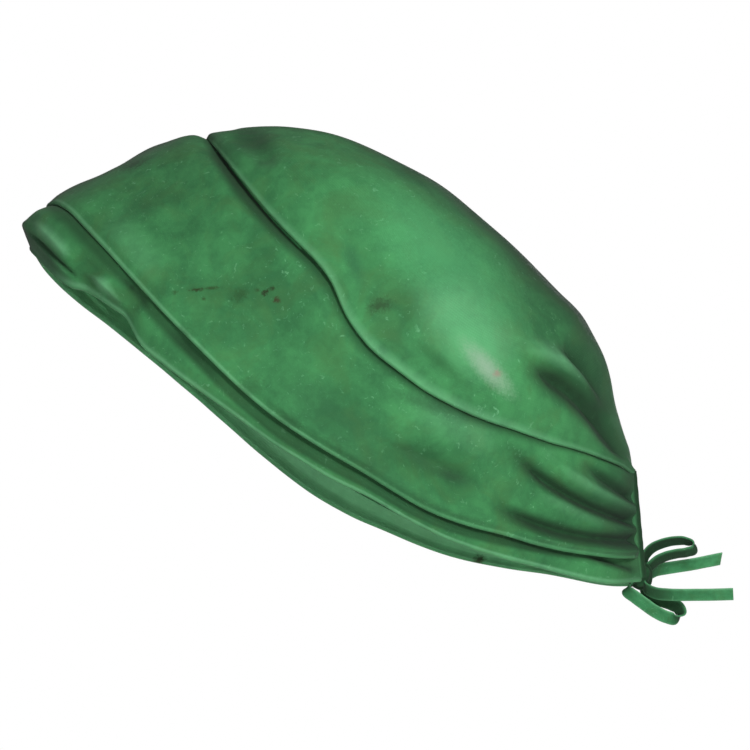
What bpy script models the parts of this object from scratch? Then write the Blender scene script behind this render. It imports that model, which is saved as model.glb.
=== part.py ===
"""A cotton tie-back scrub cap in its worn form, with the hollow for the head left empty.

The front faces -Y, the wearer's left is +X and the origin is where the head carries the cap, on the
inside of the crown. The cap is laid out in a slanted frame of its own: "along" runs back along the rim,
"high" stands square to it, and the rim drops towards the back by RIM_TILT.
"""

import math

import bpy
import numpy as np
from mathutils import Vector

# Main sizes, in metres
RIM_LENGTH = 0.2470
CROWN_HEIGHT = 0.0840
RIM_TILT = math.radians(29.9)

# The three lines that go round the cap: half width, and how far each starts and ends inside the rim length
RIM_HALF_WIDTH = 0.0780
CREASE_HALF_WIDTH = 0.0805
SEAM_HALF_WIDTH = 0.0820
RIM_FRONT_SETBACK = 0.0045
CREASE_FRONT_SETBACK = 0.0046
SEAM_FRONT_SETBACK = 0.0410
RIM_BACK_SETBACK = 0.0
CREASE_BACK_SETBACK = 0.0045
SEAM_BACK_SETBACK = 0.0205

# Cloth
CROWN_WALL = 0.0020
BAND_WALL = 0.0020
CUFF_WALL = 0.0022
CREASE_CLEARANCE = 0.0002
SEAM_CLEARANCE = 0.0003
SEAM_FRONT_LIFT = 0.0016
SEAM_BACK_LIFT = 0.0007
HIDDEN_LAP = 0.0022
TUCK = 0.0005
LIP_RISE = 0.0014
BAND_LIP_REACH = 0.35
CROWN_LIP_REACH = 0.60
FRONT_LIFT_REACH = 0.20
BACK_LIFT_REACH = 0.17
FOLD_START = 0.15
FOLD_GROWTH = 4.0
FOLD_POINTS = 13
CUFF_BULGE = 0.0066
BAND_BULGE = 0.0054
ARCH_FULLNESS = 0.90
# How high the point lies that normals point away from, as a share of CROWN_HEIGHT
MIDDLE_HIGH = 0.20

# Back casings, knot and ties
CASING_WIDTH = 0.0042
CASING_THICKNESS = 0.0032
CASING_END_LAP = 0.0012
CASING_TOP_DROP = 0.0008
CASING_GAP = 0.0006
# The station just ahead of the back edge, which shows the way the cloth runs there
CASING_APPROACH = 0.98
# How square a strip's section is across and through: 1 is an ellipse, 0 a box
STRIP_SQUARE_ACROSS = 0.35
STRIP_SQUARE_DEEP = 0.80
KNOT_GAP = 0.0003
KNOT_LENGTH = 0.0108
KNOT_HEIGHT = 0.0104
KNOT_RISE = 0.0030
KNOT_SETBACK = 0.0006
TIE_WIDTH = 0.0050
TIE_THICKNESS = 0.0009

# Where the head carries the crown, as a share of the crown's length
SEAT_ALONG = 0.21

# Mesh fineness
STEPS_AROUND = 34
STEPS_UP_BAND = 9
STEPS_UP_CUFF = 4
STEPS_ALONG_CROWN = 36
STEPS_OVER_CROWN = 34
CASING_POINTS = 7
KNOT_RINGS = 7
KNOT_TURNS = 12
CASING_CORNERS = 8
TIE_CORNERS = 6
TIE_POINTS_PER_ROW = 2

# One row for each station, from the front centre round one side to the back casing. "along" is a share
# of each line's length, "wide" of its half width, the heights of CROWN_HEIGHT, "cuff_out" of CUFF_BULGE
# and "band_out" of BAND_BULGE. "right_lift" raises the right side's rim, as the cap is worn a little askew.
STATION_COLUMNS = (
    "along", "wide", "rim_high", "crease_high", "seam_high", "cuff_out", "band_out", "right_lift",
)
STATIONS = (
    (0.00, 0.00, -0.072, 0.092, 0.676, 1.00, 1.00, 0.000),
    (0.03, 0.35, -0.106, 0.088, 0.650, 0.84, 1.00, 0.000),
    (0.10, 0.62, -0.160, 0.055, 0.582, 0.55, 0.95, 0.000),
    (0.20, 0.82, -0.210, -0.026, 0.486, 0.36, 0.85, 0.000),
    (0.31, 0.94, -0.264, -0.116, 0.388, 0.26, 0.75, -0.004),
    (0.41, 0.99, -0.304, -0.186, 0.282, 0.22, 0.62, -0.010),
    (0.50, 1.00, -0.324, -0.228, 0.184, 0.20, 0.52, -0.014),
    (0.60, 0.95, -0.328, -0.240, 0.157, 0.20, 0.50, -0.014),
    (0.70, 0.85, -0.306, -0.231, 0.190, 0.20, 0.50, 0.000),
    (0.80, 0.69, -0.258, -0.183, 0.252, 0.20, 0.45, 0.022),
    (0.89, 0.49, -0.190, -0.105, 0.322, 0.18, 0.38, 0.034),
    (0.96, 0.29, -0.121, -0.026, 0.336, 0.15, 0.25, 0.026),
    (1.00, 0.14, -0.042, 0.045, 0.312, 0.10, 0.10, 0.000),
)

# The crown's ridge from the front seam to the back: "along" is a share of the seam's length, "high" of
# CROWN_HEIGHT.
RIDGE = (
    (0.000, 0.676),
    (0.026, 0.740),
    (0.054, 0.792),
    (0.105, 0.860),
    (0.182, 0.932),
    (0.277, 0.976),
    (0.393, 0.986),
    (0.508, 0.958),
    (0.601, 0.918),
    (0.704, 0.858),
    (0.783, 0.792),
    (0.878, 0.606),
    (0.933, 0.452),
    (1.000, 0.320),
)

# How far the band stands out on its way up from the crease (0) to the seam (1), as a share of its bulge
BAND_PROFILE = (
    (0.00, 0.00), (0.22, 0.56), (0.47, 0.78), (0.72, 0.95), (0.86, 0.96), (0.95, 0.55), (1.00, 0.0),
)

# One row for each fold. The two ends are shares of RIM_LENGTH along and of CROWN_HEIGHT high, "bow" lifts
# the middle as a share of the fold's length, "width" is a share of RIM_LENGTH and "depth" of CROWN_HEIGHT,
# negative for a valley. "left" and "right" say how strongly each side of the cap shows it.
FOLD_COLUMNS = (
    "piece", "from_along", "from_high", "to_along", "to_high", "bow", "width", "depth", "left", "right",
)
FOLDS = (
    ("crown", 0.700, 0.470, 0.890, 0.400, 0.14, 0.021, 0.044, 1.0, 0.8),
    ("crown", 0.745, 0.420, 0.875, 0.370, 0.10, 0.018, -0.040, 1.0, 0.9),
    ("crown", 0.735, 0.640, 0.850, 0.520, 0.06, 0.022, -0.032, 1.0, 0.6),
    ("crown", 0.490, 0.255, 0.525, 0.345, 0.00, 0.016, -0.024, 1.0, 0.5),
    ("crown", 0.330, 0.800, 0.440, 0.560, 0.10, 0.050, -0.024, 1.0, 0.8),
    ("crown", 0.560, 0.560, 0.700, 0.330, -0.10, 0.055, 0.026, 1.0, 1.0),
    ("side_band", 0.850, 0.235, 0.945, 0.240, -0.06, 0.017, -0.032, 1.0, 0.8),
    ("side_band", 0.790, 0.140, 0.955, 0.165, -0.10, 0.016, -0.042, 1.0, 0.9),
    ("side_band", 0.800, 0.060, 0.955, 0.120, 0.06, 0.018, 0.030, 1.0, 1.0),
    ("side_band", 0.790, -0.095, 0.965, 0.090, -0.08, 0.016, -0.036, 1.0, 0.7),
    ("side_band", 0.690, -0.110, 0.760, -0.030, 0.00, 0.050, -0.024, 1.0, 0.6),
    ("side_band", 0.250, 0.100, 0.480, -0.100, 0.05, 0.060, -0.016, 1.0, 0.5),
    ("cuff", 0.050, -0.045, 0.095, -0.100, 0.00, 0.010, -0.020, 1.0, 1.0),
    ("cuff", 0.150, -0.110, 0.255, -0.200, 0.00, 0.013, -0.032, 1.0, 0.4),
)

# The ties' routes: left to right, back and up from the middle of the knot, in metres, chosen by hand
TIE_ROUTES = {
    "tie_loop_left": (
        (0.0030, -0.0044, -0.0050), (0.0030, -0.0018, -0.0072), (0.0030, 0.0014, -0.0096),
        (0.0031, 0.0054, -0.0124), (0.0033, 0.0092, -0.0142), (0.0036, 0.0122, -0.0147),
        (0.0034, 0.0137, -0.0134), (0.0030, 0.0131, -0.0114), (0.0024, 0.0108, -0.0100),
        (0.0016, 0.0076, -0.0088), (0.0008, 0.0048, -0.0077), (0.0002, 0.0026, -0.0064),
    ),
    "tie_tail_left": (
        (0.0044, 0.0022, -0.0044), (0.0062, 0.0052, -0.0060), (0.0080, 0.0094, -0.0066),
        (0.0090, 0.0138, -0.0068), (0.0095, 0.0184, -0.0068), (0.0098, 0.0232, -0.0068),
        (0.0100, 0.0282, -0.0067), (0.0102, 0.0316, -0.0066),
    ),
    "tie_loop_right": (
        (-0.0012, 0.0012, 0.0057), (-0.0022, 0.0020, 0.0078), (-0.0032, 0.0042, 0.0101),
        (-0.0038, 0.0076, 0.0117), (-0.0042, 0.0122, 0.0127), (-0.0045, 0.0160, 0.0126),
        (-0.0047, 0.0188, 0.0112), (-0.0046, 0.0190, 0.0094), (-0.0042, 0.0164, 0.0083),
        (-0.0036, 0.0126, 0.0077), (-0.0030, 0.0088, 0.0067), (-0.0024, 0.0058, 0.0052),
        (-0.0020, 0.0045, 0.0041),
    ),
    "tie_tail_right": (
        (-0.0054, 0.0034, 0.0014), (-0.0086, 0.0060, 0.0028), (-0.0114, 0.0096, 0.0036),
        (-0.0136, 0.0140, 0.0044), (-0.0154, 0.0186, 0.0052), (-0.0172, 0.0232, 0.0062),
        (-0.0208, 0.0284, 0.0074),
    ),
}
# The way each tie's width points: left, back, up
TIE_FACING = {
    "tie_loop_left": (0.55, 0.60, 0.58),
    "tie_tail_left": (0.62, 0.00, 0.78),
    "tie_loop_right": (0.80, -0.35, 0.48),
    "tie_tail_right": (0.60, 0.00, 0.80),
}

# Colours as linear RGB with alpha, roughness
CLOTH_COLOUR = (0.055, 0.285, 0.100, 1.0)
CUFF_COLOUR = (0.060, 0.300, 0.110, 1.0)
TIE_COLOUR = (0.045, 0.250, 0.085, 1.0)
CLOTH_ROUGHNESS = 0.85


def smooth_table(rows, column, at):
    """Reads a column at a place between the rows, on a smooth curve through them."""
    spots = np.array([row[0] for row in rows], float)
    values = np.array([row[column] for row in rows], float)
    slopes = np.gradient(values, spots)
    at = np.clip(at, spots[0], spots[-1])
    cell = np.clip(np.searchsorted(spots, at, side="right") - 1, 0, len(spots) - 2)
    span = spots[cell + 1] - spots[cell]
    s = (at - spots[cell]) / span
    return (
        (2 * s**3 - 3 * s**2 + 1) * values[cell]
        + (s**3 - 2 * s**2 + s) * span * slopes[cell]
        + (3 * s**2 - 2 * s**3) * values[cell + 1]
        + (s**3 - s**2) * span * slopes[cell + 1]
    )


def station_rows():
    """The stations with their place round the half loop first, and one mirrored row ahead of the front."""
    count = len(STATIONS)
    rows = [(i / (count - 1),) + row for i, row in enumerate(STATIONS)]
    ahead = rows[1]
    mirrored = (-ahead[0], ahead[1], -ahead[2]) + ahead[3:]
    return [mirrored] + rows


ROWS = station_rows()


def station(name, around):
    """A station column at each place round the cap, -1 at the right casing, 0 in front, 1 at the left."""
    return smooth_table(ROWS, 1 + STATION_COLUMNS.index(name), np.abs(around))


def line(around, high_name, half_width, front_setback, back_setback):
    """One of the lines round the cap: left, along and high for each place."""
    length = RIM_LENGTH - front_setback - back_setback
    along = front_setback + station("along", around) * length
    left = np.sign(around) * station("wide", around) * half_width
    high = station(high_name, around) * CROWN_HEIGHT
    return np.stack([left, along, high], axis=-1)


def rim_line(around):
    rim = line(around, "rim_high", RIM_HALF_WIDTH, RIM_FRONT_SETBACK, RIM_BACK_SETBACK)
    rim[..., 2] += np.where(around < 0, station("right_lift", around), 0.0) * CROWN_HEIGHT
    return rim


def crease_line(around):
    return line(around, "crease_high", CREASE_HALF_WIDTH, CREASE_FRONT_SETBACK, CREASE_BACK_SETBACK)


def seam_line(around):
    return line(around, "seam_high", SEAM_HALF_WIDTH, SEAM_FRONT_SETBACK, SEAM_BACK_SETBACK)


def ridge_high(along):
    """The crown's height along its middle."""
    length = RIM_LENGTH - SEAM_FRONT_SETBACK - SEAM_BACK_SETBACK
    return smooth_table(RIDGE, 1, (along - SEAM_FRONT_SETBACK) / length) * CROWN_HEIGHT


def seat_place():
    """The head seat in the cap's own frame: along and high, on the inside of the crown."""
    length = RIM_LENGTH - SEAM_FRONT_SETBACK - SEAM_BACK_SETBACK
    along = SEAM_FRONT_SETBACK + SEAT_ALONG * length
    return along, float(ridge_high(np.array(along))) - CROWN_WALL


def to_world(points):
    """Turns left, along and high into X, Y and Z, with the head seat at the origin."""
    seat_along, seat_high = seat_place()
    left, along, high = np.moveaxis(np.asarray(points, float), -1, 0)
    along = along - seat_along
    high = high - seat_high
    back = along * math.cos(RIM_TILT) + high * math.sin(RIM_TILT)
    up = high * math.cos(RIM_TILT) - along * math.sin(RIM_TILT)
    return np.stack([left, back, up], axis=-1)


def ease(x):
    """Rises smoothly from 0 to 1."""
    x = np.clip(x, 0.0, 1.0)
    return x * x * (3 - 2 * x)


def outward_normals(grid, middle):
    """Unit normals of a grid of points, pointing away from the middle of the cap."""
    across = np.gradient(grid, axis=0)
    up = np.gradient(grid, axis=1)
    normals = np.cross(across, up)
    lengths = np.linalg.norm(normals, axis=-1, keepdims=True)
    normals = normals / np.maximum(lengths, 1e-12)
    facing = np.sum(normals * (grid - middle))
    return normals if facing > 0 else -normals


def fold_height(piece, grid):
    """How far the folds of a piece lift or sink each of its points."""
    height = np.zeros(grid.shape[:-1])
    spots = np.linspace(0.0, 1.0, FOLD_POINTS)
    for row in FOLDS:
        fold = dict(zip(FOLD_COLUMNS, row))
        if fold["piece"] != piece:
            continue
        start = np.array([fold["from_along"] * RIM_LENGTH, fold["from_high"] * CROWN_HEIGHT])
        end = np.array([fold["to_along"] * RIM_LENGTH, fold["to_high"] * CROWN_HEIGHT])
        run = end - start
        sideways = np.array([-run[1], run[0]])
        bow = fold["bow"] * 4 * spots * (1 - spots)
        route = start + spots[:, None] * run + bow[:, None] * sideways
        apart = np.linalg.norm(grid[..., None, 1:] - route, axis=-1)
        nearest = np.argmin(apart, axis=-1)
        strength = ease(FOLD_GROWTH * spots[nearest] + FOLD_START)
        side = np.where(grid[..., 0] >= 0, fold["left"], fold["right"])
        swell = np.exp(-((np.min(apart, axis=-1) / (fold["width"] * RIM_LENGTH)) ** 2))
        height += fold["depth"] * CROWN_HEIGHT * strength * side * swell
    return height


def cloth(name, grid, wall, colour, closed_front=False):
    """Makes a sheet from a grid of outer points and gives it its wall, on the inner side."""
    count, width = grid.shape[:2]
    points = [tuple(p) for p in to_world(grid).reshape(-1, 3)]
    faces = []
    for i in range(count - 1):
        for j in range(width - 1):
            a = i * width + j
            corners = [a, a + 1, a + width + 1, a + width]
            if closed_front and i == 0:
                corners = [0, a + width + 1, a + width]
            faces.append(corners)
    mesh = bpy.data.meshes.new(name)
    if closed_front:
        # The front row is one single point, so its other points are dropped
        keep = [0] + list(range(width, count * width))
        number = {old: new for new, old in enumerate(keep)}
        points = [points[old] for old in keep]
        faces = [[number[corner] for corner in face] for face in faces]
    mesh.from_pydata(points, [], faces)
    middle = sum((Vector(p) for p in points), Vector()) / len(points)
    facing = sum((face.center - middle).dot(face.normal) * face.area for face in mesh.polygons)
    if facing < 0:
        mesh.flip_normals()
    mesh.shade_smooth()
    piece = add_object(name, mesh, colour)
    solid = piece.modifiers.new("wall", "SOLIDIFY")
    solid.thickness = wall
    solid.offset = -1.0
    solid.use_even_offset = not closed_front
    return piece


def add_object(name, mesh, colour):
    piece = bpy.data.objects.new(name, mesh)
    bpy.context.scene.collection.objects.link(piece)
    material = bpy.data.materials.new(name + "_cloth")
    material.use_nodes = True
    shader = material.node_tree.nodes["Principled BSDF"]
    shader.inputs["Base Color"].default_value = colour
    shader.inputs["Roughness"].default_value = CLOTH_ROUGHNESS
    shader.inputs["Metallic"].default_value = 0.0
    mesh.materials.append(material)
    return piece


def mid_cap():
    """A point inside the hollow, which normals point away from."""
    return np.array([0.0, RIM_LENGTH / 2, CROWN_HEIGHT * MIDDLE_HIGH])


def crown_top():
    """The highest point of the crown's ridge, which hidden seam edges turn in towards."""
    length = RIM_LENGTH - SEAM_FRONT_SETBACK - SEAM_BACK_SETBACK
    top = max(RIDGE, key=lambda row: row[1])
    return np.array([0.0, SEAM_FRONT_SETBACK + top[0] * length, top[1] * CROWN_HEIGHT])


def wall_between(lower, upper, beyond, steps):
    """A grid of straight lines from one line up to another, carried on towards a third by a hidden lap."""
    up = np.linspace(0.0, 1.0, steps + 1)
    grid = lower[:, None, :] + up[None, :, None] * (upper - lower)[:, None, :]
    way = beyond - upper
    reach = np.linalg.norm(way, axis=-1, keepdims=True)
    lap = upper + way * np.minimum(1.0, HIDDEN_LAP / np.maximum(reach, 1e-9))
    return np.concatenate([grid, lap[:, None, :]], axis=1), np.append(up, 1.0)


def make_cuff():
    """The folded brow band below the crease, its top edge hidden under the side band."""
    around = np.linspace(-1.0, 1.0, 2 * STEPS_AROUND + 1)
    crease = crease_line(around)
    grid, up = wall_between(rim_line(around), crease, seam_line(around), STEPS_UP_CUFF)
    normals = outward_normals(grid, mid_cap())
    out = np.sin(math.pi * up)[None, :] * (station("cuff_out", around) * CUFF_BULGE)[:, None]
    out[:, -2:] = -TUCK
    out = out + fold_height("cuff", grid) * np.sin(math.pi * up)[None, :]
    return cloth("cuff", grid + out[..., None] * normals, CUFF_WALL, CUFF_COLOUR)


def make_side_band():
    """The tall band from the crease to the crown's seam, its top edge hidden under the crown."""
    around = np.linspace(-1.0, 1.0, 2 * STEPS_AROUND + 1)
    grid, up = wall_between(crease_line(around), seam_line(around), crown_top(), STEPS_UP_BAND)
    normals = outward_normals(grid, mid_cap())
    bulge = smooth_table(BAND_PROFILE, 1, up)[None, :] * (station("band_out", around) * BAND_BULGE)[:, None]
    lip = (CREASE_CLEARANCE + BAND_WALL + LIP_RISE * (up > 0)) * (1 - ease(up / BAND_LIP_REACH))
    out = bulge + lip[None, :]
    out[:, -2:] = -TUCK
    out = out + fold_height("side_band", grid) * np.sin(math.pi * up)[None, :]
    return cloth("side_band", grid + out[..., None] * normals, BAND_WALL, CLOTH_COLOUR)


def arch(around, turn):
    """Points of the crown: an arch from the left seam (turn 0) over the ridge to the right seam (pi)."""
    foot = seam_line(around)
    rise = ridge_high(foot[:, 1]) - foot[:, 2]
    over = np.sign(np.cos(turn)) * np.abs(np.cos(turn)) ** ARCH_FULLNESS
    lift = np.abs(np.sin(turn)) ** ARCH_FULLNESS
    grid = np.empty((len(around), len(turn), 3))
    grid[..., 0] = foot[:, 0, None] * over
    grid[..., 1] = foot[:, 1, None]
    grid[..., 2] = foot[:, 2, None] + rise[:, None] * lift
    return grid


def make_crown():
    """The crown, in arches from the left seam over the ridge to the right seam."""
    around = np.linspace(0.0, 1.0, STEPS_ALONG_CROWN + 1)
    turn = np.linspace(0.0, math.pi, STEPS_OVER_CROWN + 1)
    grid = arch(around, turn)
    normals = outward_normals(grid, mid_cap())
    normals[0] = normals[1, STEPS_OVER_CROWN // 2]
    from_seam = np.minimum(turn, math.pi - turn) / (math.pi / 2)
    swell = np.sin(math.pi * np.clip(from_seam / CROWN_LIP_REACH, 0, 1))
    lip = (SEAM_CLEARANCE + CROWN_WALL + LIP_RISE * swell) * (1 - ease(from_seam / CROWN_LIP_REACH))
    front = SEAM_FRONT_LIFT * (1 - ease(around / FRONT_LIFT_REACH))
    back = SEAM_BACK_LIFT * ease((around - 1) / BACK_LIFT_REACH + 1)
    out = lip[None, :] + (front + back)[:, None]
    out = out + fold_height("crown", grid) * ease(from_seam / FRONT_LIFT_REACH)[None, :]
    out[0] = SEAM_CLEARANCE + CROWN_WALL + SEAM_FRONT_LIFT
    return cloth("crown", grid + out[..., None] * normals, CROWN_WALL, CLOTH_COLOUR, closed_front=True)


def swept(name, route, width_way, width, thickness, colour, corners=CASING_CORNERS):
    """A flat strip with rounded edges along a route, its width turned towards width_way."""
    route = np.asarray(route, float)
    ahead = np.gradient(route, axis=0)
    ahead /= np.linalg.norm(ahead, axis=1, keepdims=True)
    wide = np.asarray(width_way, float) - (ahead @ np.asarray(width_way, float))[:, None] * ahead
    wide /= np.linalg.norm(wide, axis=1, keepdims=True)
    thick = np.cross(ahead, wide)
    turn = 2 * math.pi * (np.arange(corners) + 0.5) / corners
    across = np.sign(np.cos(turn)) * np.abs(np.cos(turn)) ** STRIP_SQUARE_ACROSS * width / 2
    deep = np.sign(np.sin(turn)) * np.abs(np.sin(turn)) ** STRIP_SQUARE_DEEP * thickness / 2
    rings = route[:, None] + across[None, :, None] * wide[:, None] + deep[None, :, None] * thick[:, None]
    points = [tuple(p) for p in rings.reshape(-1, 3)]
    faces = []
    for i in range(len(route) - 1):
        for j in range(corners):
            a = i * corners + j
            b = i * corners + (j + 1) % corners
            faces.append([a, b, b + corners, a + corners])
    faces.append(list(range(corners))[::-1])
    faces.append([(len(route) - 1) * corners + j for j in range(corners)])
    mesh = bpy.data.meshes.new(name)
    mesh.from_pydata(points, [], faces)
    mesh.shade_smooth()
    return add_object(name, mesh, colour)


def finer(route, pieces):
    """Points on a smooth curve through a hand-chosen route."""
    route = np.asarray(route, float)
    spots = np.concatenate([[0.0], np.cumsum(np.linalg.norm(np.diff(route, axis=0), axis=1))])
    rows = [(spot,) + tuple(point) for spot, point in zip(spots, route)]
    at = np.linspace(0.0, spots[-1], pieces)
    return np.stack([smooth_table(rows, 1 + axis, at) for axis in range(3)], axis=-1)


def casing_line(side):
    """The middle of a casing from the seam's end down to the rim's, and the way in from the cloth."""
    ends = []
    for edge in (seam_line, crease_line, rim_line):
        last = edge(np.array([side * CASING_APPROACH, side * 1.0]))
        way = last[1] - last[0]
        way[2] = 0.0
        way /= np.linalg.norm(way)
        ends.append(last[1] + way * (CASING_WIDTH / 2 + CASING_GAP))
    down = (ends[2] - ends[0]) / np.linalg.norm(ends[2] - ends[0])
    ends[0] = ends[0] + down * CASING_TOP_DROP
    ends[2] = ends[2] + down * CASING_END_LAP
    return finer(ends, CASING_POINTS), way


def make_casing(name, side):
    """The hem at one side of the back opening, which the tie runs out of."""
    route, way = casing_line(side)
    return swept(name, to_world(route), way, CASING_WIDTH, CASING_THICKNESS, TIE_COLOUR)


def knot_middle():
    """The middle of the knot, in world coordinates."""
    high = rim_line(np.array([1.0]))[0, 2] + KNOT_RISE
    return to_world(np.array([0.0, RIM_LENGTH - RIM_BACK_SETBACK - KNOT_SETBACK, high]))


def knot_half_width():
    """Half of the room that the two casings leave for the knot, less its gap."""
    route, way = casing_line(1)
    reach = math.hypot(way[0] * CASING_WIDTH, way[1] * CASING_THICKNESS) / 2
    return route[-1, 0] - reach - KNOT_GAP


def make_knot():
    """The knot of the bow, squeezed between the two casings."""
    mesh = bpy.data.meshes.new("tie_knot")
    rings, turns = KNOT_RINGS, KNOT_TURNS
    points = [(0.0, 0.0, 1.0)]
    for i in range(1, rings):
        tilt = math.pi * i / rings
        for j in range(turns):
            turn = 2 * math.pi * j / turns
            points.append((math.sin(tilt) * math.cos(turn), math.sin(tilt) * math.sin(turn), math.cos(tilt)))
    points.append((0.0, 0.0, -1.0))
    last = len(points) - 1
    faces = [[0, 1 + j, 1 + (j + 1) % turns] for j in range(turns)]
    for i in range(rings - 2):
        for j in range(turns):
            a = 1 + i * turns + j
            b = 1 + i * turns + (j + 1) % turns
            faces.append([a, a + turns, b + turns, b])
    faces += [[last, last - turns + (j + 1) % turns, last - turns + j] for j in range(turns)]
    middle = knot_middle()
    half_sizes = np.array([knot_half_width(), KNOT_LENGTH / 2, KNOT_HEIGHT / 2])
    places = [tuple(middle + np.array(p) * half_sizes) for p in points]
    mesh.from_pydata(places, [], faces)
    mesh.shade_smooth()
    return add_object("tie_knot", mesh, TIE_COLOUR)


def make_ties():
    """The bow's two loops and two tails, as flat tape."""
    middle = knot_middle()
    for name, route in TIE_ROUTES.items():
        smooth = finer(np.array(route) + middle, TIE_POINTS_PER_ROW * len(route))
        swept(name, smooth, TIE_FACING[name], TIE_WIDTH, TIE_THICKNESS, TIE_COLOUR, TIE_CORNERS)


def main():
    for piece in list(bpy.data.objects):
        bpy.data.objects.remove(piece)
    make_cuff()
    make_side_band()
    make_crown()
    make_casing("back_casing_left", 1)
    make_casing("back_casing_right", -1)
    make_knot()
    make_ties()


main()
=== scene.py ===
import math

import bmesh
import bpy
import numpy as np
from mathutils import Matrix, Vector


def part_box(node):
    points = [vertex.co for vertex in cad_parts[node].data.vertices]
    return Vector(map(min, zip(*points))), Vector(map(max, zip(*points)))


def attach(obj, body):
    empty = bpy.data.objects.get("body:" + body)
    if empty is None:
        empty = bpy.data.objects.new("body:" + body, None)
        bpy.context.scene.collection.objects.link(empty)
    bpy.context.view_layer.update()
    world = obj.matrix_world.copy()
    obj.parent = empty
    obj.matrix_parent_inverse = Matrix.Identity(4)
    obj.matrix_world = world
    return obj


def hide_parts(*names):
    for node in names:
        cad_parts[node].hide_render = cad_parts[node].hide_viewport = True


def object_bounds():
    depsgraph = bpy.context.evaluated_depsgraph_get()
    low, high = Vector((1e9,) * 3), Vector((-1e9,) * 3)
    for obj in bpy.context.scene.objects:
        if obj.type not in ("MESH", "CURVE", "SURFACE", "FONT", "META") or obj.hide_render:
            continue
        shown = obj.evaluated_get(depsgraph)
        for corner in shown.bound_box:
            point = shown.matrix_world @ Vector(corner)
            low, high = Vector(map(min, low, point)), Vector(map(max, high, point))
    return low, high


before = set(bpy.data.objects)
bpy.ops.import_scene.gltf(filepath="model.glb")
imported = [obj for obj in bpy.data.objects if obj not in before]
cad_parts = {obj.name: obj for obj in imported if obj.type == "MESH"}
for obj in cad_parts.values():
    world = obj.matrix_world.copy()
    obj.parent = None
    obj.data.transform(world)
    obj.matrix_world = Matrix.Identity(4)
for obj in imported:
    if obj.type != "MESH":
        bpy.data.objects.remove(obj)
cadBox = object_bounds()
mm = 0.001  # sizes below are in millimetres, Blender's unit is the metre
print("frame loaded:", len(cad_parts), "nodes")


# Camera and studio

cameraView = {
    "azimuth": 92.5,  # degrees, 90 looks along -X
    "elevation": -6.0,
    "distance": 1500.0,
    "pixel": 0.348,  # what one of the 750 pixels spans at the cap
    "pixels": 750,
    "seatPixel": (336.0, 143.5),  # where the head seat shows
}

studio = {
    "floorHigh": -420.0,
    "floorSize": 9000.0,
    "lights": (  # name, place, size, watts
        ("key", (1250.0, 560.0, 330.0), 380.0, 12.2),
        ("lowFill", (1300.0, -120.0, -330.0), 260.0, 5.4),
        ("farSide", (-1350.0, 100.0, 60.0), 700.0, 9.5),
        ("top", (100.0, 200.0, 1500.0), 700.0, 1.4),
    ),
    "worldLight": 0.15,
    "floorGlow": 0.72,
    "boardShade": "#f2f2f0",
    "boardGrain": 33.3333,
}


def aimAt(thing, place, target):
    thing.location = Vector(place)
    thing.rotation_euler = (Vector(target) - Vector(place)).to_track_quat("-Z", "Y").to_euler()


def makeCamera(view):
    turn = math.radians(view["azimuth"])
    tilt = math.radians(view["elevation"])
    back = Vector((math.sin(turn) * math.cos(tilt), -math.cos(turn) * math.cos(tilt), math.sin(tilt)))
    middle = view["pixels"] / 2
    across = (middle - view["seatPixel"][0]) * view["pixel"]
    down = (middle - view["seatPixel"][1]) * view["pixel"]
    target = Vector((0.0, across, -down)) * mm
    data = bpy.data.cameras.new("camera")
    half = view["pixels"] * view["pixel"] / 2
    data.lens = data.sensor_width / 2 * view["distance"] / half
    data.clip_start = 0.05
    data.clip_end = 30.0
    camera = bpy.data.objects.new("camera", data)
    bpy.context.scene.collection.objects.link(camera)
    aimAt(camera, target + back * view["distance"] * mm, target)
    bpy.context.scene.camera = camera


def makeLight(name, place, size, watts):
    data = bpy.data.lights.new(name, "AREA")
    data.shape = "DISK"
    data.size = size * mm
    data.energy = watts
    light = bpy.data.objects.new(name, data)
    bpy.context.scene.collection.objects.link(light)
    aimAt(light, Vector(place) * mm, cadMiddle)


cadMiddle = (cadBox[0] + cadBox[1]) / 2
makeCamera(cameraView)
for lightRow in studio["lights"]:
    makeLight(*lightRow)
bpy.context.scene.view_settings.view_transform = "Standard"
print("camera and lights placed")


# Materials

def linear(hexText, alpha=1.0):
    parts = [int(hexText[i:i + 2], 16) / 255 for i in (1, 3, 5)]
    return tuple(p / 12.92 if p <= 0.04045 else ((p + 0.055) / 1.055) ** 2.4 for p in parts) + (alpha,)


def addNode(tree, kind, settings=None, links=None):
    node = tree.nodes.new(kind)
    for key, value in (settings or {}).items():
        if isinstance(key, int) or key in node.inputs:
            node.inputs[key].default_value = value
        else:
            setattr(node, key, value)
    for key, source in (links or {}).items():
        tree.links.new(source, node.inputs[key])
    return node


cottonLook = {
    "deep": "#1a3b22",  # painted shade: in the valleys of the folds, under the hems, in the slit and on the shaded tape
    "mid": "#2f6b40",
    "light": "#448f55",
    "paleWornAndLit": "#7abf8e",  # on worn edges, and for painted highlights on ridges and hems
    # grey painted shade along the middle line
    "shadeGrey": "#233629",
    "blotchSize": 42.0,
    "mottleSize": 7.0,
    "fleckSize": 2.4,
    "grainSize": 1.1,
    "olive": "#44713f",
    "threadSpacing": 0.9,  # real threads lie 0.35 mm apart, drawn coarser so that they show
    "threadHeight": 0.035,
    "crumpleSize": 9.0,
    "crumpleHeight": 0.45,
    "roughness": 0.86,
    # Each mark on the cloth, the colour it turns to and how far: painted shade, painted highlight together
    # with wear, and grey painted shade along the middle line
    "shadeHighlightAndWear": (("paintedShade", "deep", 0.85), ("wearAndHighlight", "paleWornAndLit", 0.75), ("greyShade", "shadeGrey", 0.85)),
}
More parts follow.
